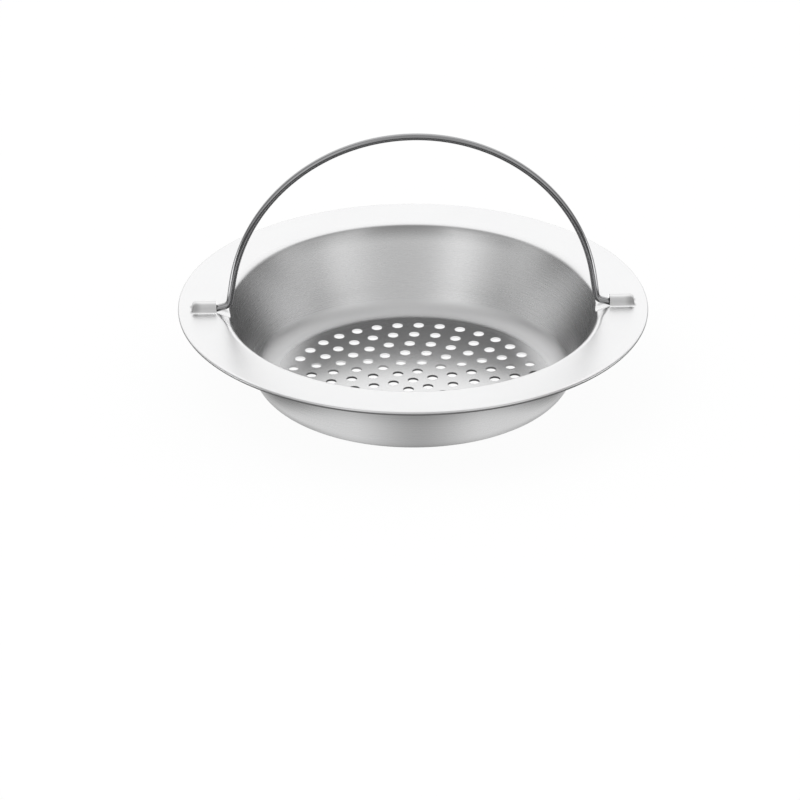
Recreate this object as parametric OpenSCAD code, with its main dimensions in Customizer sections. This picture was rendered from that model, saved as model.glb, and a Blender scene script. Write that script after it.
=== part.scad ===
// Sink strainer: a perforated steel basket with a folding wire handle.
// X runs along the handle's pivot, Y across it and Z up.
// The base of the basket stands on Z = 0, centred on the origin.

/* [Basket] */
// Height from the base to the top of the rim
rim_h = 20; // [17:0.5:30]
// Thickness of the steel sheet
sheet_t = 0.5; // [0.4:0.05:0.6]
// Outside diameter of the bowl, taken a little way under the rim
bowl_d = 85; // [70:0.5:120]
// How far under the top of the rim the bowl's diameter is taken
bowl_gauge_drop = 4; // [3:0.5:6]
// Reach of the rim's edge past the bowl's side
rim_reach = 12.5; // [12:0.1:20]
// Lean of the bowl's wall from upright, in degrees
wall_lean = 22; // [14:1:26]
// Radius of the roll at the bowl's mouth, on its upper side
mouth_roll_r = 2; // [1.5:0.1:2.5]
// Radius inside the bowl, where its wall meets its floor
floor_corner_r = 5; // [3:0.5:6]
// Width of the hem folded under the rim
hem_w = 2.5; // [1.5:0.1:2.5]

/* [Floor holes] */
// Diameter of each hole
hole_d = 2.5; // [1.5:0.1:3]
// Plain border of the floor's flat, outside the middles of the outer ring of holes
hole_border = 3.5; // [2:0.1:5]
// Rings of holes round the middle one
hole_rings = 6; // [3:1:6]
// Turn of the whole pattern, in degrees
hole_turn = 15; // [0:1:60]

/* [Handle] */
// Diameter of the wire
wire_d = 1.6; // [1.2:0.1:1.8]
// Reach of the arch, to the middle of the wire, past the bowl's side
arch_reach = 0.1; // [-0.5:0.1:0.5]
// Height of the arch's centre above the pivot
arch_rise = 1.1; // [0.5:0.05:3]
// Lean of the legs below the arch, in degrees
leg_splay = 8; // [5:1:10]
// Slope of each foot on its way out to the socket, in degrees
foot_slope = 17; // [12:1:22]
// Radius of the bend from leg to foot, to the middle of the wire
leg_bend_r = 1.8; // [1.4:0.1:2.2]
// Radius of the bend where the foot turns level, to the middle of the wire
foot_bend_r = 2.5; // [2:0.1:4]

/* [Handle sockets] */
// Distance of each socket's mouth from the bowl's side
socket_reach = 3.6; // [3.5:0.1:3.9]
// Length of a socket, from its mouth to its closed end
socket_len = 5.7; // [5:0.1:6]
// Space between the wire and the socket's sides
socket_clear = 0.35; // [0.2:0.05:0.5]
// Height of the middle of the socket's round roof above the rim
socket_rise = 0.45; // [0.2:0.05:0.6]
// Radius that blends the socket into the rim
socket_blend_r = 1.2; // [0.6:0.1:1.3]
// Height of the pivot above the top of the rim
pivot_rise = 0.1; // [0:0.05:0.3]

/* [Pressed lips] */
// Space between the wire and the channel that it lies over
channel_clear = 0.15; // [0.1:0.05:0.3]
// Radius of the channel's hollow
channel_r = 2.6; // [2.2:0.1:3.5]
// Fall of the channel towards the bowl, in degrees
channel_fall = 20; // [10:1:25]
// Radius of the wide dish that takes a folded leg
dish_r = 30; // [20:1:40]
// Depth of the dish under the rim, over the middle of the mouth's roll
dish_depth = 0.45; // [0.3:0.05:0.6]
// Fall of the dish towards the bowl, in degrees
dish_fall = 25; // [20:1:30]

/* [Hidden] */
$fn = 96;

// How far a cut runs past the face that it opens
overrun = 1;
// How far a face laps into the round that follows it, so that the two close without a sliver
seam_lap = sheet_t / 500;

// Basket, worked out
bowl_r = bowl_d / 2;
rim_r = bowl_r + rim_reach;
floor_top = sheet_t;
hem_edge_r = sheet_t;
roll_centre_z = rim_h - mouth_roll_r;
corner_centre_z = floor_top + floor_corner_r;

// Radius of the wall's inner face at a height
function wall_in_r(z) = bowl_r + (z - (rim_h - bowl_gauge_drop)) * tan(wall_lean)
    - sheet_t / cos(wall_lean);

roll_centre_r = wall_in_r(roll_centre_z) + mouth_roll_r / cos(wall_lean);
corner_centre_r = wall_in_r(corner_centre_z) - floor_corner_r / cos(wall_lean);

// Distance from one ring of holes to the next, and along a ring
hole_pitch = (corner_centre_r - hole_border) / hole_rings;

// Handle, worked out. Points are [distance from the middle, height above the pivot].
pivot_z = rim_h + pivot_rise;
arch_r = bowl_r + arch_reach;
socket_x = bowl_r + socket_reach;
foot_turn_x = socket_x + wire_d / 8;
pin_end_x = socket_x + socket_len - sheet_t - wire_d / 2;
leg_top = [arch_r * cos(leg_splay), arch_rise + arch_r * sin(leg_splay)];
leg_len = (foot_turn_x - leg_top.x - leg_top.y / tan(foot_slope))
    / (sin(leg_splay) - cos(leg_splay) / tan(foot_slope));
leg_dir = [sin(leg_splay), -cos(leg_splay)];
foot_dir = [cos(foot_slope), -sin(foot_slope)];
ankle = leg_top + leg_len * leg_dir;
ankle_cut = leg_bend_r * tan((90 - leg_splay - foot_slope) / 2);
leg_end = ankle - ankle_cut * leg_dir;
foot_start = ankle + ankle_cut * foot_dir;
ankle_centre = leg_end + leg_bend_r * [cos(leg_splay), sin(leg_splay)];
foot_cut = foot_bend_r * tan(foot_slope / 2);
foot_end = [foot_turn_x, 0] - foot_cut * foot_dir;
pin_start = [foot_turn_x + foot_cut, 0];
// Ring that closes the seam between a bend and a straight run, a hundredth proud of the wire
seam_half_len = wire_d / 20;
seam_d = wire_d * (1 + 1 / 80);

// Socket, worked out
socket_in_r = wire_d / 2 + socket_clear;
socket_out_r = socket_in_r + sheet_t;
blend_x = sqrt(pow(socket_out_r + socket_blend_r, 2) - pow(socket_blend_r - socket_rise, 2));
blend_dir = [blend_x, socket_blend_r - socket_rise] / (socket_out_r + socket_blend_r);
channel_z = pivot_z - wire_d / 2 - channel_clear;
lip_reach = socket_x - wall_in_r(roll_centre_z - mouth_roll_r) + overrun;

// Region on the upper side of a face that lies a distance under the sheet's upper face,
// in the half-plane of [radius, height]
module above_sheet(under) {
    wall_dir = [sin(wall_lean), cos(wall_lean)];
    wall_out = [cos(wall_lean), -sin(wall_lean)];
    corner = [corner_centre_r, corner_centre_z];
    roll = [roll_centre_r, roll_centre_z];
    difference() {
        union() {
            polygon([
                [0, floor_top - under],
                [corner.x, floor_top - under],
                corner + (floor_corner_r + under - seam_lap) * wall_out,
                roll - (mouth_roll_r - under - seam_lap) * wall_out,
                [roll.x, rim_h - under],
                [rim_r, rim_h - under],
                [rim_r, rim_h + overrun],
                [0, rim_h + overrun]
            ]);
            translate(corner) circle(r = floor_corner_r + under);
        }
        translate(roll) circle(r = mouth_roll_r - under);
    }
}

// Section of the whole sheet, from the middle of the floor to the folded hem
module sheet_section() {
    difference() {
        above_sheet(sheet_t);
        above_sheet(0);
        translate([rim_r - hem_edge_r, rim_h - 2 * sheet_t])
            square([rim_r, 2 * sheet_t + overrun]);
    }
    translate([rim_r - hem_w, rim_h - 2 * sheet_t])
        square([hem_w - hem_edge_r, 2 * sheet_t]);
    translate([rim_r - hem_edge_r, rim_h - sheet_t]) circle(r = hem_edge_r);
}

// Cutters for the floor: a middle hole and rings with six more holes each
module floor_holes() {
    translate([0, 0, -overrun]) cylinder(d = hole_d, h = sheet_t + 2 * overrun);
    for (ring = [1 : hole_rings], k = [0 : 6 * ring - 1])
        rotate(hole_turn + k * 60 / ring)
            translate([ring * hole_pitch, 0, -overrun])
                cylinder(d = hole_d, h = sheet_t + 2 * overrun);
}

// Section across a socket: the region under a face that lies a distance under its outside,
// down to a foot at another distance under the top of the rim
module socket_section(under, foot) {
    roof_r = socket_out_r - under;
    difference() {
        union() {
            translate([0, socket_rise]) circle(r = roof_r);
            polygon([
                [-blend_x, -foot],
                [blend_x, -foot],
                [blend_x, -under],
                [0, socket_rise] + roof_r * blend_dir,
                [-roof_r * blend_dir.x, socket_rise + roof_r * blend_dir.y],
                [-blend_x, -under]
            ]);
        }
        for (side = [-1, 1])
            translate([side * blend_x, socket_blend_r])
                circle(r = socket_blend_r + under + seam_lap);
        translate([-rim_r, -foot - rim_r]) square([2 * rim_r, rim_r]);
    }
}

// Raised roof of a socket with its closed end, or the hollow under it
module socket_form(under, foot) {
    translate([socket_x, 0, rim_h]) rotate([90, 0, 90])
        linear_extrude(socket_len - under) socket_section(under, foot);
}

// Round bar whose lowest line passes through a point of the X-Z plane and falls inwards
module falling_bar(x, z, radius, fall, margin) {
    translate([x, 0, z]) rotate([0, -90 - fall, 0]) translate([radius, 0, -lip_reach])
        cylinder(r = radius + margin, h = 3 * lip_reach);
}

// Shape pressed into the lip inboard of a socket, grown by a margin: a channel for the foot
// and a wide dish for the leg
module lip_press(margin) {
    falling_bar(socket_x, channel_z, channel_r, channel_fall, margin);
    falling_bar(roll_centre_r, rim_h - dish_depth, dish_r, dish_fall, margin);
}

// Space in which the lip may be pressed: inboard of the socket's mouth
module lip_zone() {
    translate([socket_x - lip_reach, -rim_h / 2, roll_centre_z - mouth_roll_r])
        cube([lip_reach, rim_h, 2 * mouth_roll_r + overrun]);
}

// Basket: one pressed sheet with its hem, holes and handle sockets
module strainer_basket() {
    color("gainsboro") difference() {
        union() {
            difference() {
                union() {
                    rotate_extrude() sheet_section();
                    for (side = [0, 1]) mirror([side, 0, 0]) difference() {
                        intersection() {
                            lip_press(sheet_t);
                            lip_zone();
                            cylinder(r = rim_r, h = rim_h - sheet_t / 2);
                        }
                        rotate_extrude() above_sheet(0);
                    }
                }
                for (side = [0, 1]) mirror([side, 0, 0]) intersection() {
                    lip_press(0);
                    lip_zone();
                }
            }
            for (side = [0, 1]) mirror([side, 0, 0]) socket_form(0, sheet_t / 2);
        }
        for (side = [0, 1]) mirror([side, 0, 0]) socket_form(sheet_t, 2 * sheet_t);
        floor_holes();
    }
}

// Piece of round wire bent in the X-Z plane about a centre
module wire_bend(centre, radius, from, to) {
    translate([centre.x, 0, centre.y]) rotate([90, 0, 0]) rotate([0, 0, from])
        rotate_extrude(angle = to - from) translate([radius, 0]) circle(d = wire_d);
}

// Straight piece of round wire between two points of the X-Z plane, with a seam ring where
// it starts and, if the wire bends on from there, where it ends
module wire_run(from, to, bends_on = true) {
    step = to - from;
    translate([from.x, 0, from.y]) rotate([0, atan2(step.x, step.y), 0]) {
        cylinder(d = wire_d, h = norm(step));
        for (z = bends_on ? [0, norm(step)] : [0])
            translate([0, 0, z - seam_half_len]) cylinder(d = seam_d, h = 2 * seam_half_len);
    }
}

// Handle: one length of wire, with an arch, two legs and two feet that turn in the sockets
module bail_handle() {
    color("silver") translate([0, 0, pivot_z]) {
        wire_bend([0, arch_rise], arch_r, leg_splay, 180 - leg_splay);
        for (side = [0, 1]) mirror([side, 0, 0]) {
            wire_run(leg_top, leg_end);
            wire_bend(ankle_centre, leg_bend_r, 180 + leg_splay, 270 - foot_slope);
            wire_run(foot_start, foot_end);
            wire_bend(pin_start + [0, foot_bend_r], foot_bend_r, 270 - foot_slope, 270);
            wire_run(pin_start, [pin_end_x, 0], bends_on = false);
        }
    }
}

strainer_basket();
bail_handle();
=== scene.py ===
import math
import bpy
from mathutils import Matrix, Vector


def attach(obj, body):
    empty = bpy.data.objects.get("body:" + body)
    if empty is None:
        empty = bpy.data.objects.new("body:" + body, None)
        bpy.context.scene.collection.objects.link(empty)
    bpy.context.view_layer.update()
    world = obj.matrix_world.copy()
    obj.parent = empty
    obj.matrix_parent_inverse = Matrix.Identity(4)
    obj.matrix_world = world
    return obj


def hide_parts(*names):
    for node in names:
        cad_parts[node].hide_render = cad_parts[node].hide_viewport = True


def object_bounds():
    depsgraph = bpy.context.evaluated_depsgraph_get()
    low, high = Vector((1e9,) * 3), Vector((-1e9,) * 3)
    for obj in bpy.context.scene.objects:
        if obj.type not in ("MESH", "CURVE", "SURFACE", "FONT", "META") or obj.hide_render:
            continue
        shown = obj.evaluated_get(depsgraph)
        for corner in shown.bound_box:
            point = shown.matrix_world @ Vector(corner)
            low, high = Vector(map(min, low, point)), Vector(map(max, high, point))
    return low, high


# Sink strainer: a pressed steel basket with a folding wire handle.
# The sizes below are in millimetres, as on a drawing; mm turns them into metres.

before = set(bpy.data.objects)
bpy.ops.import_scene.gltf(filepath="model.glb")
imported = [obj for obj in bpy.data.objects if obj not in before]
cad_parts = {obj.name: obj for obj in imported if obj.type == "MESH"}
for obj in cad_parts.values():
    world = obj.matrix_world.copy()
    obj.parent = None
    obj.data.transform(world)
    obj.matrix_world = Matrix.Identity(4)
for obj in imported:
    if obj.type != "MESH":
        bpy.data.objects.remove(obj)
cadLow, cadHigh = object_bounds()
mm = 0.001


# Node trees: a socket that can be used in sums, and a tree that hands out nodes

class Value:  # one output socket; the operators add Math nodes to its tree
    def __init__(self, kit, socket):
        self.kit = kit
        self.socket = socket

    def __add__(self, other):
        return self.kit.maths("ADD", self, other)

    def __sub__(self, other):
        return self.kit.maths("SUBTRACT", self, other)

    def __mul__(self, other):
        return self.kit.maths("MULTIPLY", self, other)

    def __truediv__(self, other):
        return self.kit.maths("DIVIDE", self, other)

    def __gt__(self, other):
        return self.kit.maths("GREATER_THAN", self, other)

    def __lt__(self, other):
        return self.kit.maths("LESS_THAN", self, other)

    def __neg__(self):
        return self.kit.maths("MULTIPLY", self, -1.0)

    def __rsub__(self, other):
        return self.kit.maths("SUBTRACT", other, self)

    __radd__ = __add__
    __rmul__ = __mul__


class NodeKit:  # one node tree, with short ways to add to it
    def __init__(self, tree):
        self.tree = tree
        tree.nodes.clear()

    def node(self, kind, settings=None, inputs=None):
        made = self.tree.nodes.new(kind)
        for name, value in (settings or {}).items():
            setattr(made, name, value)
        for key, value in (inputs or {}).items():
            for one in value if isinstance(value, list) else [value]:
                if isinstance(one, Value):
                    self.tree.links.new(one.socket, made.inputs[key])
                else:
                    made.inputs[key].default_value = one
        return made

    def out(self, kind, output, settings=None, inputs=None):
        return Value(self, self.node(kind, settings, inputs).outputs[output])

    def maths(self, operation, *values):
        return self.out("ShaderNodeMath", 0, {"operation": operation}, dict(enumerate(values)))

    def parts(self, vector):
        split = self.node("ShaderNodeSeparateXYZ", None, {"Vector": vector})
        return [Value(self, split.outputs[axis]) for axis in "XYZ"]

    def vector(self, x, y, z):
        return self.out("ShaderNodeCombineXYZ", 0, None, {"X": x, "Y": y, "Z": z})

    def length(self, x, y):
        return self.maths("SQRT", x * x + y * y)

    def fade(self, value, start, end):  # 0 at start, 1 at end, smooth between
        return self.out("ShaderNodeMapRange", 0, {"interpolation_type": "SMOOTHSTEP"},
                        {0: value, 1: start, 2: end, 3: 0.0, 4: 1.0})

    def size(self, value):
        return self.maths("ABSOLUTE", value)

    def mix(self, share, first, second):  # of two colours
        return self.out("ShaderNodeMix", 2, {"data_type": "RGBA"}, {0: share, 6: first, 7: second})


def geometryTree(name, numbers):
    tree = bpy.data.node_groups.new(name, "GeometryNodeTree")
    kit = NodeKit(tree)
    face = tree.interface
    face.new_socket("Geometry", in_out="INPUT", socket_type="NodeSocketGeometry")
    for label, value in numbers.items():
        kind = "NodeSocketInt" if isinstance(value, int) else "NodeSocketFloat"
        face.new_socket(label, in_out="INPUT", socket_type=kind)
    face.new_socket("Steel", in_out="INPUT", socket_type="NodeSocketMaterial")
    face.new_socket("Geometry", in_out="OUTPUT", socket_type="NodeSocketGeometry")
    entry = kit.node("NodeGroupInput")
    return tree, kit, {socket.name: Value(kit, socket) for socket in entry.outputs if socket.name}


def growMesh(name, base, tree, numbers, steel, finish=()):
    holder = bpy.data.objects.new(name + "Source", base)
    bpy.context.scene.collection.objects.link(holder)
    nodes = holder.modifiers.new("grow", "NODES")
    nodes.node_group = tree
    for socket in tree.interface.items_tree:
        if socket.in_out == "INPUT" and socket.name in numbers:
            nodes[socket.identifier] = numbers[socket.name]
        elif socket.in_out == "INPUT" and socket.name == "Steel":
            nodes[socket.identifier] = steel
    for kind, settings in finish:
        step = holder.modifiers.new(kind.lower(), kind)
        for key, value in settings.items():
            setattr(step, key, value)
    ready = holder.evaluated_get(bpy.context.evaluated_depsgraph_get())
    mesh = bpy.data.meshes.new_from_object(ready)
    mesh.name = name
    piece = bpy.data.objects.new(name, mesh)
    bpy.context.scene.collection.objects.link(piece)
    bpy.data.objects.remove(holder)
    return piece


# Steel

# Where its painted highlights, painted shade or roughness change: start and end of each fade, in
# millimetres
steelZones = {
    "floorOut": (32.0, 33.0),          # out from the middle
    "cornerOut": (32.4, 34.0), "cornerUp": (1.5, 4.0),
    "rimUp": (18.5, 19.3),
    "socketFrom": (45.9, 46.1), "socketTo": (51.9, 52.4),  # along the pivot
    "socketUp": (19.8, 19.95), "socketRoughUp": (20.02, 20.3),
    "socketWide": (2.8, 4.5),          # across the pivot, as are the crest and the foot
    # crest, foot and end: where each socket gets a painted highlight on its crest and foot and painted
    # shade at its closed end
    "crestFrom": (0.2, 0.5), "crestTo": (0.6, 1.3),
    "footFrom": (2.1, 2.7), "brightTo": (50.2, 51.0),
    "endFrom": (49.2, 51.2), "endWideFrom": (0.3, 1.2), "endWideTo": (1.6, 2.4),
    # lip: painted shade on the wall's inner face below the mouth at the back
    "lipFrom": (15.8, 19.8), "lipTo": (19.5, 19.95),
    "innerFace": (35.75, 36.0),        # out from the middle, with the wall's lean taken off
    "lipBack": (0.70, 0.88), "lipPeak": (0.96, 0.996),  # sines of the turn from the pivot
}
steelTones = {
    "wallLean": 22.0,                  # degrees
    # the next two are shares of painted highlight and painted shade
    "crestShare": 0.4,                 # of the foot's brightness
    "lipSide": 0.55,                   # of the lip's shade that is left beside its darkest part
    # the colours that the painted highlights and the painted shade go towards
    "paintedHighlightColour": (0.98, 0.98, 0.98, 1.0), "paintedShadeColour": (0.3, 0.3, 0.3, 1.0),
    "lineDetail": 4.0, "lineRoughness": 0.62, "cloudDetail": 3.0, "cloudRoughness": 0.55,
}


def socketPaintedLight(kit, side, across, z):  # painted highlights on the crest and foot, duller flank, painted shade at the closed end
    zone = steelZones
    drawn = kit.fade(side, *zone["socketFrom"]) * (1.0 - kit.fade(side, *zone["socketTo"]))
    drawn = drawn * kit.fade(z / mm, *zone["socketUp"]) * (1.0 - kit.fade(across, *zone["socketWide"]))
    crest = kit.fade(across, *zone["crestFrom"]) * (1.0 - kit.fade(across, *zone["crestTo"]))
    bright = crest * steelTones["crestShare"] + kit.fade(across, *zone["footFrom"])
    bright = bright * (1.0 - kit.fade(side, *zone["brightTo"]))
    end = kit.fade(side, *zone["endFrom"]) * kit.fade(across, *zone["endWideFrom"])
    end = end * (1.0 - kit.fade(across, *zone["endWideTo"]))
    return drawn * bright, drawn * end


def lipShade(kit, y, z, out):  # painted shade: the wall's inner face darkens up to the rolled mouth at the back
    zone, side = steelZones, steelTones["lipSide"]
    skin = out / mm - z / mm * math.tan(math.radians(steelTones["wallLean"]))
    back = y / out
    lip = kit.fade(z / mm, *zone["lipFrom"]) * (1.0 - kit.fade(z / mm, *zone["lipTo"]))
    lip = lip * kit.fade(back, *zone["lipBack"]) * (kit.fade(back, *zone["lipPeak"]) * (1.0 - side) + side)
    return lip * (1.0 - kit.fade(skin, *zone["innerFace"]))


def steelMaterial(name, look):
    steel = bpy.data.materials.new(name)
    steel.use_nodes = True
    kit = NodeKit(steel.node_tree)
    place = kit.out("ShaderNodeTexCoord", "Object")
    x, y, z = kit.parts(place)
    around = kit.maths("ARCTAN2", y, x)
    out = kit.length(x, y)

    # fine lines that run round the piece, as rolling and pressing leave them
    grain = kit.vector(around * look["grainRound"],
                       (z - out * look["grainTilt"]) / mm * look["grainAcross"], 0.0)
    lines = kit.out("ShaderNodeTexNoise", 0, {"noise_dimensions": "3D"}, {
        "Vector": grain, "Scale": 1.0,
        "Detail": steelTones["lineDetail"], "Roughness": steelTones["lineRoughness"]})
    cloud = kit.out("ShaderNodeTexNoise", 0, {"noise_dimensions": "3D"}, {
        "Vector": place, "Scale": look["cloudScale"],
        "Detail": steelTones["cloudDetail"], "Roughness": steelTones["cloudRoughness"]})
    streak, patch = lines - 0.5, cloud - 0.5
    tone = streak * look["lineTone"] + patch * look["cloudTone"] + 0.5
    colour = kit.mix(tone, look["darkColour"], look["lightColour"])
    rough = streak * look["lineRough"] + patch * look["cloudRough"] + look["rough"]

    zone = steelZones
    side, across = kit.size(x) / mm, kit.size(y) / mm
    floor = 1.0 - kit.fade(out / mm, *zone["floorOut"])
    corner = kit.fade(out / mm, *zone["cornerOut"]) * (1.0 - kit.fade(z / mm, *zone["cornerUp"]))
    rim = kit.fade(z / mm, *zone["rimUp"])
    socket = kit.fade(side, *zone["socketFrom"]) * kit.fade(z / mm, *zone["socketRoughUp"])
    rough = rough + floor * look["floorRough"] + corner * look["cornerRough"]
    rough = rough + rim * look["rimRough"] + socket * look["socketRough"]

    # painted highlights on each socket's crest and foot, painted shade at its closed end and on the wall's
    # inner face below the mouth at the back
    bright, end = socketPaintedLight(kit, side, across, z)
    dark = end * look["endPaintedShade"] + lipShade(kit, y, z, out) * look["lipPaintedShade"]
    colour = kit.mix(bright * look["socketPaintedHighlight"], colour, steelTones["paintedHighlightColour"])
    colour = kit.mix(dark, colour, steelTones["paintedShadeColour"])
    bump = kit.out("ShaderNodeBump", 0, None,
                   {"Strength": look["bump"], "Distance": look["bumpDepth"] * mm, "Height": lines})
    shader = kit.out("ShaderNodeBsdfPrincipled", 0, None, {
        "Base Color": colour, "Metallic": 1.0, "Roughness": rough, "Normal": bump})
    kit.node("ShaderNodeOutputMaterial", None, {"Surface": shader})
    return steel


basketLook = {
    "grainRound": 2.0, "grainAcross": 9.0, "grainTilt": 0.45,
    "cloudScale": 60.0,
    "lineTone": 0.5, "cloudTone": 0.5,
    "darkColour": (0.61, 0.61, 0.615, 1.0), "lightColour": (0.69, 0.69, 0.69, 1.0),
    "rough": 0.27, "lineRough": 0.10, "cloudRough": 0.05,
    # added to the roughness in those places
    "floorRough": -0.04, "cornerRough": 0.30, "rimRough": 0.05, "socketRough": 0.20,
    # how far the tone goes towards a painted highlight or painted shade in those places
    "socketPaintedHighlight": 0.9, "endPaintedShade": 0.7, "lipPaintedShade": 0.9,
    "bump": 0.08, "bumpDepth": 0.02,
}
wireLook = {
    "grainRound": 30.0, "grainAcross": 3.0, "grainTilt": 1.0,
    "cloudScale": 150.0,
    "lineTone": 0.4, "cloudTone": 0.4,
    "darkColour": (0.27, 0.27, 0.275, 1.0), "lightColour": (0.35, 0.35, 0.355, 1.0),
    "rough": 0.14, "lineRough": 0.06, "cloudRough": 0.04,
    "floorRough": 0.0, "cornerRough": 0.0, "rimRough": 0.0, "socketRough": 0.0,
    "socketPaintedHighlight": 0.0, "endPaintedShade": 0.0, "lipPaintedShade": 0.0,
    "bump": 0.1, "bumpDepth": 0.01,
}
basketSteel = steelMaterial("basketSteel", basketLook)
wireSteel = steelMaterial("wireSteel", wireLook)
print("steel ready")


# Basket: one sheet, turned from its middle line, with its holes, lips and sockets.
# Its thickness comes last.

basket = {
    "sheet": 0.5,
    "rimHeight": 20.0,
    "rimRadius": 55.0,
    "hemWidth": 2.5,
    "hemGap": 0.04,         # between the two layers of the hem
    "bowlRadius": 42.5,     # outside, gaugeDrop under the rim
    "gaugeDrop": 4.0,
    "wallLean": 22.0,
    "mouthRoll": 2.0,
    "floorCorner": 5.0,
    "plateRadius": 31.2,    # the perforated middle of the floor
    "holeRadius": 1.25,
    "holePitch": 4.804,
    "holeTurn": 15.0,
    "socketMouth": 46.1,
    "socketLength": 5.7,
    "socketEndRound": 1.6,  # how far the closed end's rounding reaches along the socket
    "socketEndShare": 0.7,  # share of the end's rows that go round its corner
    "socketEndPower": 0.5,  # squares that corner off; 1 would leave it round
    "socketRows": 7.2,      # how far past the mouth the closely set rows reach
    "slitHalf": 2.6,
    "slitNear": 0.02,
    "socketClear": 0.35,
    "socketRise": 0.45,
    "socketBlend": 1.2,
    "wireRadius": 0.8,
    "channelRadius": 2.6,
    "channelHeight": 19.15,
    "channelFall": 20.0,
    "dishRadius": 30.0,
    "dishDepth": 0.45,
    "dishFall": 25.0,
    "pressSoftness": 0.3,   # how softly a pressed lip runs into the sheet
    "formedDepth": 4.0,     # how far under the rim, to each side of the pivot and out from
    "formedHalf": 16.0,     # the middle the sheet is drawn and pressed
    "formedRadius": 53.5,
    "closeRowsFrom": 0.78,  # share of the wall's height
    "weldGap": 0.002,
}
basketCounts = {"Columns": 360, "Hole sides": 24, "Hole rings": 6}
basketNumbers = {
    "Socket mouth": basket["socketMouth"] * mm,
    "Hole radius": basket["holeRadius"] * mm,
    "Hole pitch": basket["holePitch"] * mm,
    "Hole turn": math.radians(basket["holeTurn"]),
    "Crowding": 0.85,       # how much closer the columns stand beside the sockets
    **basketCounts,
}


def basketSection():  # stretches of the middle line: lines and arcs, in millimetres
    half = basket["sheet"] / 2
    lean = math.radians(basket["wallLean"])
    across, down = math.cos(lean), math.sin(lean)
    top = basket["rimHeight"] - half
    floor = half

    def wallRadius(height):  # inner face of the wall
        drop = height - (basket["rimHeight"] - basket["gaugeDrop"])
        return basket["bowlRadius"] + drop * math.tan(lean) - basket["sheet"] / across

    rollHeight = basket["rimHeight"] - basket["mouthRoll"]
    rollRadius = wallRadius(rollHeight) + basket["mouthRoll"] / across
    cornerHeight = basket["sheet"] + basket["floorCorner"]
    cornerRadius = wallRadius(cornerHeight) - basket["floorCorner"] / across
    cornerBend = basket["floorCorner"] + half
    rollBend = basket["mouthRoll"] - half
    wallFoot = (cornerRadius + cornerBend * across, cornerHeight - cornerBend * down)
    wallHead = (rollRadius - rollBend * across, rollHeight + rollBend * down)
    lipFoot = tuple(a + (b - a) * basket["closeRowsFrom"] for a, b in zip(wallFoot, wallHead))
    foldBend = (basket["sheet"] + basket["hemGap"]) / 2
    foldRadius = basket["rimRadius"] - half - foldBend
    hemEdge = basket["rimRadius"] - basket["hemWidth"]
    ridgeEnd = basket["socketMouth"] + basket["socketRows"]
    # the last number of each is its count of rows
    return [
        ("line", (basket["plateRadius"], floor), (cornerRadius, floor), 2),
        ("arc", (cornerRadius, cornerHeight), cornerBend, -90, -basket["wallLean"], 9),
        ("line", wallFoot, lipFoot, 5),
        ("line", lipFoot, wallHead, 16),
        ("arc", (rollRadius, rollHeight), rollBend, 180 - basket["wallLean"], 90, 11),
        ("line", (rollRadius, top), (basket["socketMouth"], top), 7),
        ("line", (basket["socketMouth"], top), (ridgeEnd, top), 32),
        ("line", (ridgeEnd, top), (foldRadius, top), 3),
        ("arc", (foldRadius, top - foldBend), foldBend, 90, -90, 8),
        ("line", (foldRadius, top - 2 * foldBend), (hemEdge, top - 2 * foldBend), 3),
    ], rollRadius


def turnedStretch(kit, sizes, stretch):  # one stretch of the section, turned about Z
    rows = stretch[-1]
    grid = kit.node("GeometryNodeMeshGrid", None, {
        "Size X": 1.0, "Size Y": 1.0, "Vertices X": sizes["Columns"] + 1, "Vertices Y": rows + 1})
    x, y, z = kit.parts(kit.out("GeometryNodeInputPosition", 0))
    along = y + 0.5
    if stretch[0] == "line":
        start, end = stretch[1], stretch[2]
        radius = along * ((end[0] - start[0]) * mm) + start[0] * mm
        height = along * ((end[1] - start[1]) * mm) + start[1] * mm
    else:
        centre, bend = stretch[1], stretch[2]
        start, end = math.radians(stretch[3]), math.radians(stretch[4])
        angle = along * (end - start) + start
        radius = kit.maths("COSINE", angle) * (bend * mm) + centre[0] * mm
        height = kit.maths("SINE", angle) * (bend * mm) + centre[1] * mm
    turn = crowdedTurn(kit, sizes, x + 0.5)
    place = kit.vector(kit.maths("COSINE", turn) * radius, kit.maths("SINE", turn) * radius, height)
    return kit.out("GeometryNodeSetPosition", 0, None,
                   {"Geometry": Value(kit, grid.outputs[0]), "Position": place})


def crowdedTurn(kit, sizes, share):  # share of a turn to an angle, with more columns at the sockets
    even = share * (-2 * math.pi)
    return even - kit.maths("SINE", even * 2.0) * sizes["Crowding"] * 0.5


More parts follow.
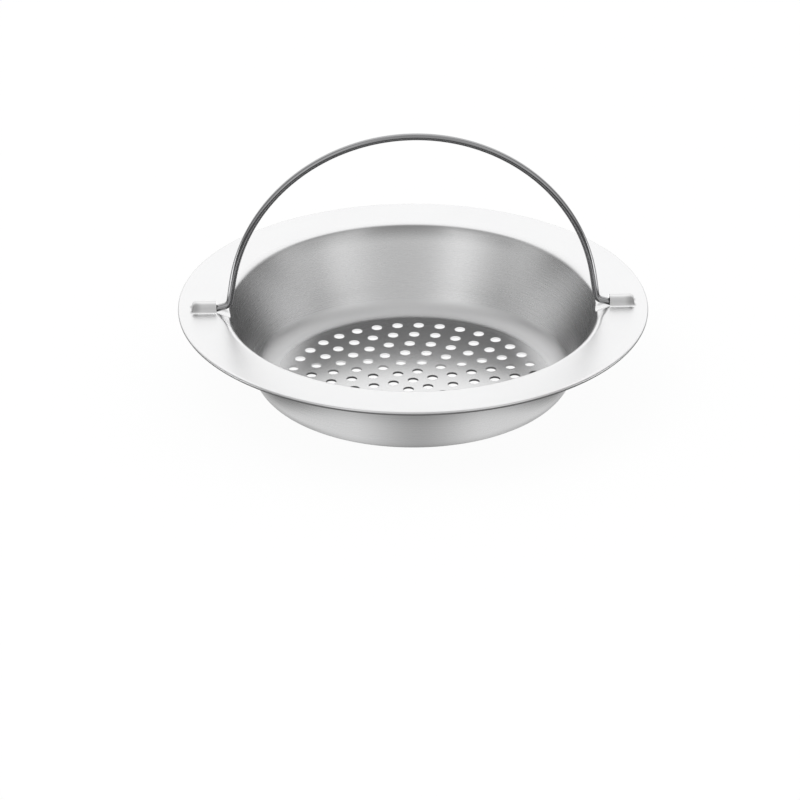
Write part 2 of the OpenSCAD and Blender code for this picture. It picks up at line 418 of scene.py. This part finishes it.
def perforatedPlate(kit, sizes):
    # hole 0 is in the middle, and ring n holds 6n more
    index = kit.out("GeometryNodeInputIndex", 0)
    ring = kit.maths("CEIL", (kit.maths("SQRT", kit.maths("MAXIMUM", index * 12.0 + 3.0, 9.0)) - 3.0) / 6.0)
    step = index - ring * (ring - 1.0) * 3.0 - 1.0
    angle = step * (math.pi / 3) / ring + sizes["Hole turn"]
    reach = ring * sizes["Hole pitch"]
    place = kit.vector(kit.maths("COSINE", angle) * reach, kit.maths("SINE", angle) * reach, 0.0)
    rings = sizes["Hole rings"]
    spots = kit.out("GeometryNodePoints", 0, None,
                    {"Count": rings * (rings + 1.0) * 3.0 + 1.0, "Position": place})
    hole = kit.out("GeometryNodeCurvePrimitiveCircle", 0, {"mode": "RADIUS"},
                   {"Resolution": sizes["Hole sides"], "Radius": sizes["Hole radius"]})
    holes = kit.out("GeometryNodeRealizeInstances", 0, None, {"Geometry": kit.out(
        "GeometryNodeInstanceOnPoints", 0, None, {"Points": spots, "Instance": hole})})
    edge = kit.out("GeometryNodeCurvePrimitiveCircle", 0, {"mode": "RADIUS"},
                   {"Resolution": sizes["Columns"], "Radius": basket["plateRadius"] * mm})
    turn = crowdedTurn(kit, sizes, kit.out("GeometryNodeInputIndex", 0) / sizes["Columns"])
    radius = basket["plateRadius"] * mm
    rim = kit.out("GeometryNodeSetPosition", 0, None, {
        "Geometry": edge,
        "Position": kit.vector(kit.maths("COSINE", turn) * radius, kit.maths("SINE", turn) * radius, 0.0)})
    both = kit.out("GeometryNodeJoinGeometry", 0, None, {"Geometry": [rim, holes]})
    plate = kit.out("GeometryNodeFillCurve", 0, None, {"Curve": both})
    return kit.out("GeometryNodeSetPosition", 0, None, {
        "Geometry": plate, "Offset": (0.0, 0.0, basket["sheet"] / 2 * mm)})


def pressed(kit, place, foot, radius, fall):  # sheet pushed down by a round bar that falls inwards
    x, y, z = kit.parts(place)
    side = kit.maths("SIGN", x)
    tilt = math.radians(fall)
    lowest = basket["rimHeight"] - basket["formedDepth"]
    half = basket["sheet"] / 2
    reach = kit.size(x) - foot[0] * mm
    height = (z - foot[1] * mm) * math.cos(tilt) - reach * math.sin(tilt)
    bar = y * y / (2 * (radius + half) * mm) - half * mm
    drop = kit.maths("SMOOTH_MIN", height, bar, basket["pressSoftness"] * mm) - height
    drop = drop * (z > lowest * mm)
    return kit.vector(x - side * drop * math.sin(tilt), y, z + drop * math.cos(tilt))


def raisedSocket(kit, place):  # sheet drawn up over the wire's end
    half = basket["sheet"] / 2
    inner = basket["wireRadius"] + basket["socketClear"]
    roof, blend = inner + half, basket["socketBlend"] + half
    across = math.sqrt((roof + blend) ** 2 - (basket["socketBlend"] - basket["socketRise"]) ** 2)
    swing = math.asin(across / (roof + blend))  # angle that each of the two arcs turns through
    x, y, z = kit.parts(place)
    run = kit.size(y) / (across * mm) * ((roof + blend) * swing)  # in mm along both arcs
    onRoof = run < roof * swing
    roofTurn = run / roof
    blendTurn = (roof + blend) * swing / blend - run / blend
    roofOut = kit.maths("SINE", roofTurn) * roof
    roofUp = kit.maths("COSINE", roofTurn) * roof + (basket["socketRise"] + half)
    blendOut = across - kit.maths("SINE", blendTurn) * blend
    blendUp = blend - kit.maths("COSINE", blendTurn) * blend
    out = blendOut + onRoof * (roofOut - blendOut)
    up = blendUp + onRoof * (roofUp - blendUp)
    within = kit.size(y) < across * mm

    # the closed end: rows past endStart fall round a squared corner, then lie flat again
    reach = kit.size(x)
    bent, power = basket["socketEndShare"], basket["socketEndPower"]
    endRound = basket["socketEndRound"] * mm
    endStart = (basket["socketMouth"] + basket["socketLength"] - half) * mm - endRound
    endRows = (basket["socketMouth"] + basket["socketRows"]) * mm - endStart
    share = kit.maths("MINIMUM", kit.maths("MAXIMUM", (reach - endStart) / endRows, 0.0), 1.0)
    corner = kit.maths("MINIMUM", share / bent, 1.0) * (math.pi / 2)
    flat = kit.maths("MAXIMUM", (share - bent) / (1.0 - bent), 0.0)
    along = kit.maths("POWER", kit.maths("SINE", corner), power) * endRound + flat * (endRows - endRound)
    fall = kit.maths("POWER", kit.maths("MAXIMUM", kit.maths("COSINE", corner), 0.0), power)
    newX = kit.maths("SIGN", x) * (kit.maths("MINIMUM", reach, endStart) + along)
    newY = kit.maths("SIGN", y) * out * mm
    keep = within * (1.0 - flat)
    return kit.vector(x + (newX - x) * within, y + (newY - y) * keep, z + up * fall * within * mm)


def basketTree():
    tree, kit, sizes = geometryTree("pressedBasket", basketNumbers)
    stretches, rollRadius = basketSection()
    strips = [turnedStretch(kit, sizes, stretch) for stretch in stretches]
    strips.append(perforatedPlate(kit, sizes))
    sheet = kit.out("GeometryNodeJoinGeometry", 0, None, {"Geometry": strips})
    sheet = kit.out("GeometryNodeMergeByDistance", 0, None,
                    {"Geometry": sheet, "Distance": basket["weldGap"] * mm})

    # the slit that parts each socket from its lip
    place = kit.out("GeometryNodeInputPosition", 0)
    x, y, z = kit.parts(place)
    out = kit.length(x, y)
    mouth = sizes["Socket mouth"]
    raised = z > (basket["rimHeight"] / 2) * mm
    near = kit.size(out - mouth) < basket["slitNear"] * mm
    onSlit = near * (kit.size(y) < basket["slitHalf"] * mm) * raised
    sheet = kit.out("GeometryNodeSplitEdges", 0, None, {"Mesh": sheet, "Selection": onSlit})
    hold = kit.node("GeometryNodeCaptureAttribute", {"domain": "FACE"})
    hold.capture_items.new("FLOAT", "outside")
    kit.tree.links.new(sheet.socket, hold.inputs[0])
    kit.tree.links.new((out > mouth).socket, hold.inputs[1])
    sheet, outside = Value(kit, hold.outputs[0]), Value(kit, hold.outputs[1])

    channel = pressed(kit, place, (basket["socketMouth"], basket["channelHeight"]),
                      basket["channelRadius"], basket["channelFall"])
    dish = pressed(kit, channel, (rollRadius, basket["rimHeight"] - basket["dishDepth"]),
                   basket["dishRadius"], basket["dishFall"])
    roof = raisedSocket(kit, place)
    formed = kit.out("ShaderNodeMix", 1, {"data_type": "VECTOR"}, {0: outside > 0.5, 4: dish, 5: roof})
    high = z > (basket["rimHeight"] - basket["formedDepth"]) * mm
    beside = kit.size(y) < basket["formedHalf"] * mm
    inside = out < basket["formedRadius"] * mm
    sheet = kit.out("GeometryNodeSetPosition", 0, None, {
        "Geometry": sheet, "Selection": high * beside * inside, "Position": formed})
    sheet = kit.out("GeometryNodeSetShadeSmooth", 0, None, {"Geometry": sheet})
    sheet = kit.out("GeometryNodeRealizeInstances", 0, None, {"Geometry": sheet})
    sheet = kit.out("GeometryNodeSetMaterial", 0, None, {"Geometry": sheet, "Material": sizes["Steel"]})
    kit.node("NodeGroupOutput", None, {0: sheet})
    return tree


basketPiece = growMesh(
    "pressedBasket", bpy.data.meshes.new("empty"), basketTree(), basketNumbers, basketSteel,
    finish=[
        ("SOLIDIFY", {"thickness": basket["sheet"] * mm, "offset": 0.0, "use_even_offset": True,
                      "use_quality_normals": True}),
    ])
basketPiece.data.set_sharp_from_angle(angle=math.radians(38))
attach(basketPiece, "basket")
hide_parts("strainer_basket")
print("basket ready:", len(basketPiece.data.polygons), "faces")


# Handle: one wire along its middle line, from one pin over the arch to the other

handle = {
    "wireRadius": 0.8,
    "pivotHeight": 20.1,
    "archRadius": 42.6,
    "archRise": 1.1,
    "legSplay": 8.0,
    "footSlope": 17.0,
    "legBend": 1.8,
    "footBend": 2.5,
    "footTurn": 46.3,
    "pinEnd": 50.5,
    "endRounding": 0.12,
    "endTaper": 0.85,       # share of the wire's radius that is left at its cut ends
    "pinRows": 6, "ankleRows": 10, "archRows": 120,
}
handleNumbers = {"Wire radius": handle["wireRadius"] * mm, "Sides": 32}


def archPoint(angle):
    angle = math.radians(angle)
    return Vector((handle["archRadius"] * math.cos(angle),
                   handle["archRise"] + handle["archRadius"] * math.sin(angle)))


def roundCorner(before, corner, after, bend, count):
    inward, outward = (before - corner).normalized(), (after - corner).normalized()
    half = inward.angle(outward) / 2
    middle = (inward + outward).normalized()
    centre = corner + middle * (bend / math.sin(half))
    first = corner + inward * (bend / math.tan(half)) - centre
    last = corner + outward * (bend / math.tan(half)) - centre
    return [centre + first.slerp(last, step / count).normalized() * bend for step in range(count + 1)]


def handlePoints():
    splay, slope = math.radians(handle["legSplay"]), math.radians(handle["footSlope"])
    legTop = archPoint(handle["legSplay"])
    footTurn = Vector((handle["footTurn"], 0))
    # the leg runs down and out from the arch until it meets the foot's slope
    run = (footTurn.x - legTop.x - legTop.y / math.tan(slope)) / (
        math.sin(splay) - math.cos(splay) / math.tan(slope))
    ankle = legTop + Vector((math.sin(splay), -math.cos(splay))) * run
    pinEnd = Vector((handle["pinEnd"], 0))
    side = [pinEnd, pinEnd - Vector((handle["endRounding"], 0))]
    side += roundCorner(pinEnd, footTurn, ankle, handle["footBend"], handle["pinRows"])
    side += roundCorner(footTurn, ankle, legTop, handle["legBend"], handle["ankleRows"])
    lean, rows = handle["legSplay"], handle["archRows"]
    arch = [archPoint(lean + (180 - 2 * lean) * step / rows) for step in range(rows + 1)]
    other = [Vector((-p.x, p.y)) for p in reversed(side)]
    return side + arch + other


def handleCurve():
    points = handlePoints()
    line = bpy.data.curves.new("handleLine", "CURVE")
    line.dimensions = "3D"
    spline = line.splines.new("POLY")
    spline.points.add(len(points) - 1)
    for index, (spot, p) in enumerate(zip(spline.points, points)):
        spot.co = (p.x * mm, 0.0, (p.y + handle["pivotHeight"]) * mm, 1.0)
        spot.radius = handle["endTaper"] if index in (0, len(points) - 1) else 1.0
    return line


def wireTree():
    tree, kit, sizes = geometryTree("bentWire", handleNumbers)
    circle = kit.out("GeometryNodeCurvePrimitiveCircle", 0, {"mode": "RADIUS"},
                     {"Resolution": sizes["Sides"], "Radius": sizes["Wire radius"]})
    wire = kit.out("GeometryNodeCurveToMesh", 0, None,
                   {"Curve": sizes["Geometry"], "Profile Curve": circle, "Fill Caps": True})
    wire = kit.out("GeometryNodeSetShadeSmooth", 0, None, {"Geometry": wire})
    wire = kit.out("GeometryNodeRealizeInstances", 0, None, {"Geometry": wire})
    wire = kit.out("GeometryNodeSetMaterial", 0, None, {"Geometry": wire, "Material": sizes["Steel"]})
    kit.node("NodeGroupOutput", None, {0: wire})
    return tree


handlePiece = growMesh("wireHandle", handleCurve(), wireTree(), handleNumbers, wireSteel)
handlePiece.data.set_sharp_from_angle(angle=math.radians(45))
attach(handlePiece, "handle")
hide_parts("bail_handle")
print("handle ready:", len(handlePiece.data.polygons), "faces")


# Camera, at the photograph's angle

view = {
    "turn": -2.26, "height": 26.97,      # degrees
    "distance": 2.48, "clipEnd": 20.0,   # metres
    "lens": 476.8, "sensor": 36.0,       # millimetres
    "objectRight": 3.06, "objectUp": 22.15,  # of the handle's pivot from the middle of the frame
}


def placeCamera():
    turn, height = math.radians(view["turn"]), math.radians(view["height"])
    level = math.cos(height)
    back = Vector((math.sin(turn) * level, -math.cos(turn) * level, math.sin(height)))
    right = Vector((math.cos(turn), math.sin(turn), 0))
    up = back.cross(right)
    pivot = Vector((0, 0, handle["pivotHeight"] * mm))
    aim = pivot - right * view["objectRight"] * mm - up * view["objectUp"] * mm
    camera = bpy.data.objects.new("camera", bpy.data.cameras.new("camera"))
    bpy.context.scene.collection.objects.link(camera)
    camera.data.lens = view["lens"]
    camera.data.sensor_width = view["sensor"]
    camera.data.clip_end = view["clipEnd"]
    camera.location = aim + back * view["distance"]
    camera.rotation_mode = "QUATERNION"
    camera.rotation_quaternion = (-back).to_track_quat("-Z", "Y")
    bpy.context.scene.camera = camera


placeCamera()
print("camera ready")


# Floor, studio and lamp

studio = {
    "floorSize": 6.0,
    "floorDrop": 0.00002,    # metres under the basket
    "floorGlow": 0.95,       # share of the floor that is plain white to the camera
    "floorPaint": (0.96, 0.96, 0.96, 1.0),
    "lampPlace": (-0.5, -0.3, 1.2), "lampSize": 0.8, "lampPower": 3.0,
    # what the steel sees of the room: behind the basket, low and high at the camera's side
    "backWhite": 1.43,
    "frontLow": 0.74,
    "frontHigh": 0.25,
    "frontShade": 0.2, "sideShade": 0.65,
    "againFront": 1.4, "againSide": 0.22, "deepLoss": 0.75,  # for light that meets the steel twice or more
    # two upright soft boxes: turn from the front and half width in degrees, and how bright
    "strips": [(43.0, 15.0, 0.36), (-33.0, 14.0, 0.48)],
    # start and end of each fade: turns from the front in radians, the others parts of a direction
    "sideTurn": (1.3, 1.8), "insideTurn": (0.2, 1.5), "insideShift": 0.15,
    "highUp": (0.7, 0.83), "highFront": (0.0, 0.2), "highAgain": (-0.55, -0.3),
    "backEdge": (-0.7, -0.4), "backTilt": 0.5,
    "againDepth": 1.5, "deepDepth": 2.5,  # counts of meetings with the steel
}
# What the steel sees of the table: brightness in rings round the basket. Fades have a start and
# an end, turns in degrees from the front and the others in millimetres.
table = {
    "wallFront": 0.57, "wallSide": 0.97, "wallTurn": (0.0, 28.0),
    "rimShade": 0.17, "rimDarken": (42.0, 49.0), "rimLighten": (100.0, 125.0),
    "sideShift": 6.5,       # how much nearer the basket the rim's shade comes at the sides
    "footShade": 0.4,       # at the sides, under the foot of the wall
    "footTurn": (20.0, 60.0), "footOut": (36.0, 38.5),
    "plateShade": 0.11, "plateWhite": 1.3, "plateAlong": (4.0, 14.0), "plateOut": (34.0, 36.0),
    "rimTurn": (25.0, 75.0),
    "farShade": 0.19, "farAlong": (-54.0, -64.0),
    "beyond": 0.8, "beyondSide": 2.8, "beyondFrom": (55.0, 68.0), "beyondTo": (88.0, 98.0),
}


plainWhite = (1.0, 1.0, 1.0, 1.0)


def tableBrightness(kit, x, y):
    out = kit.length(x, y) / mm
    front = y / mm
    turn = kit.size(kit.maths("ARCTAN2", x, -y))

    def turned(name):
        return kit.fade(turn, *(math.radians(angle) for angle in table[name]))

    bright = table["wallFront"] + turned("wallTurn") * (table["wallSide"] - table["wallFront"])
    foot = turned("footTurn") * (1.0 - kit.fade(out, *table["footOut"]))
    bright = bright * (1.0 - foot * table["footShade"])
    under = kit.fade(front, *table["plateAlong"]) * (table["plateWhite"] - table["plateShade"])
    under = under + table["plateShade"]
    bright = under + kit.fade(out, *table["plateOut"]) * (bright - under)
    near = out + turned("rimTurn") * table["sideShift"]
    bright = bright + kit.fade(near, *table["rimDarken"]) * (table["rimShade"] - bright)
    side = turned("beyondFrom") * (1.0 - turned("beyondTo"))
    beyond = side * (table["beyondSide"] - table["beyond"]) + table["beyond"]
    bright = bright + kit.fade(out, *table["rimLighten"]) * (beyond - bright)
    return bright + kit.fade(front, *table["farAlong"]) * (table["farShade"] - bright)


def makeFloor():
    half = studio["floorSize"] / 2
    corners = [(-half, -half, 0), (half, -half, 0), (half, half, 0), (-half, half, 0)]
    mesh = bpy.data.meshes.new("floor")
    mesh.from_pydata(corners, [], [(0, 1, 2, 3)])
    floor = bpy.data.objects.new("floor", mesh)
    bpy.context.scene.collection.objects.link(floor)
    floor.location.z = cadLow.z - studio["floorDrop"]
    white = bpy.data.materials.new("floorWhite")
    white.use_nodes = True
    kit = NodeKit(white.node_tree)
    rays = kit.node("ShaderNodeLightPath")
    camera, glossy = (Value(kit, rays.outputs[name]) for name in ("Is Camera Ray", "Is Glossy Ray"))
    x, y, _ = kit.parts(kit.out("ShaderNodeTexCoord", "Object"))
    bright = tableBrightness(kit, x, y)
    paint = kit.out("ShaderNodeBsdfDiffuse", 0, None, {"Color": studio["floorPaint"]})
    glow = kit.out("ShaderNodeEmission", 0, None, {"Color": plainWhite, "Strength": 1.0})
    seen = kit.out("ShaderNodeMixShader", 0, None, {0: camera * studio["floorGlow"], 1: paint, 2: glow})
    mirrored = kit.out("ShaderNodeEmission", 0, None, {"Color": plainWhite, "Strength": bright})
    both = kit.out("ShaderNodeMixShader", 0, None, {0: glossy, 1: seen, 2: mirrored})
    below = kit.out("ShaderNodeNewGeometry", "Backfacing")
    clear = kit.out("ShaderNodeBsdfTransparent", 0)
    kit.node("ShaderNodeOutputMaterial", None, {"Surface": kit.out(
        "ShaderNodeMixShader", 0, None, {0: below, 1: both, 2: clear})})
    mesh.materials.append(white)


def makeStudio():
    world = bpy.data.worlds.new("studio")
    bpy.context.scene.world = world
    world.use_nodes = True
    kit = NodeKit(world.node_tree)
    x, y, z = kit.parts(kit.out("ShaderNodeTexCoord", "Generated"))
    front = -y
    turn = kit.maths("ARCTAN2", x, front)
    low = studio["frontLow"]
    for place, width, extra in studio["strips"]:
        miss = (turn - math.radians(place)) / math.radians(width)
        low = kit.maths("EXPONENT", -(miss * miss)) * extra + low
    low = low * (1.0 - kit.fade(kit.size(turn), *studio["sideTurn"]) * studio["sideShade"])
    high = kit.fade(z, *studio["highUp"])
    shade = high * kit.fade(front, *studio["highFront"]) * studio["frontShade"]
    low = low + shade * (studio["frontHigh"] - low)

    # light that has met the steel before sees the inside of the basket, darker to the sides
    depth = kit.out("ShaderNodeLightPath", "Glossy Depth")
    again = depth > studio["againDepth"]
    deep = (depth > studio["deepDepth"]) * studio["deepLoss"]
    inside = kit.fade(kit.size(turn + studio["insideShift"]), *studio["insideTurn"])
    inside = inside * (studio["againSide"] - studio["againFront"]) + studio["againFront"]
    low = low + again * (inside * (1.0 - deep) - low)

    toBack = kit.fade(front - z * studio["backTilt"], *studio["backEdge"])
    mirrored = studio["backWhite"] + toBack * (low - studio["backWhite"])
    shade = again * high * kit.fade(front, *studio["highAgain"])
    mirrored = mirrored + shade * (studio["frontHigh"] - mirrored)
    glossy = kit.out("ShaderNodeLightPath", "Is Glossy Ray")
    strength = glossy * (mirrored - 1.0) + 1.0
    light = kit.out("ShaderNodeBackground", 0, None, {"Color": plainWhite, "Strength": strength})
    kit.node("ShaderNodeOutputWorld", None, {"Surface": light})


def makeLamp():
    lamp = bpy.data.objects.new("softBox", bpy.data.lights.new("softBox", "AREA"))
    bpy.context.scene.collection.objects.link(lamp)
    lamp.data.size = studio["lampSize"]
    lamp.data.energy = studio["lampPower"]
    lamp.location = studio["lampPlace"]
    lamp.rotation_mode = "QUATERNION"
    lamp.rotation_quaternion = Vector(studio["lampPlace"]).to_track_quat("Z", "Y")
    lamp.visible_glossy = False


makeFloor()
makeStudio()
makeLamp()
bpy.context.scene.view_settings.view_transform = "Standard"
print("studio ready")
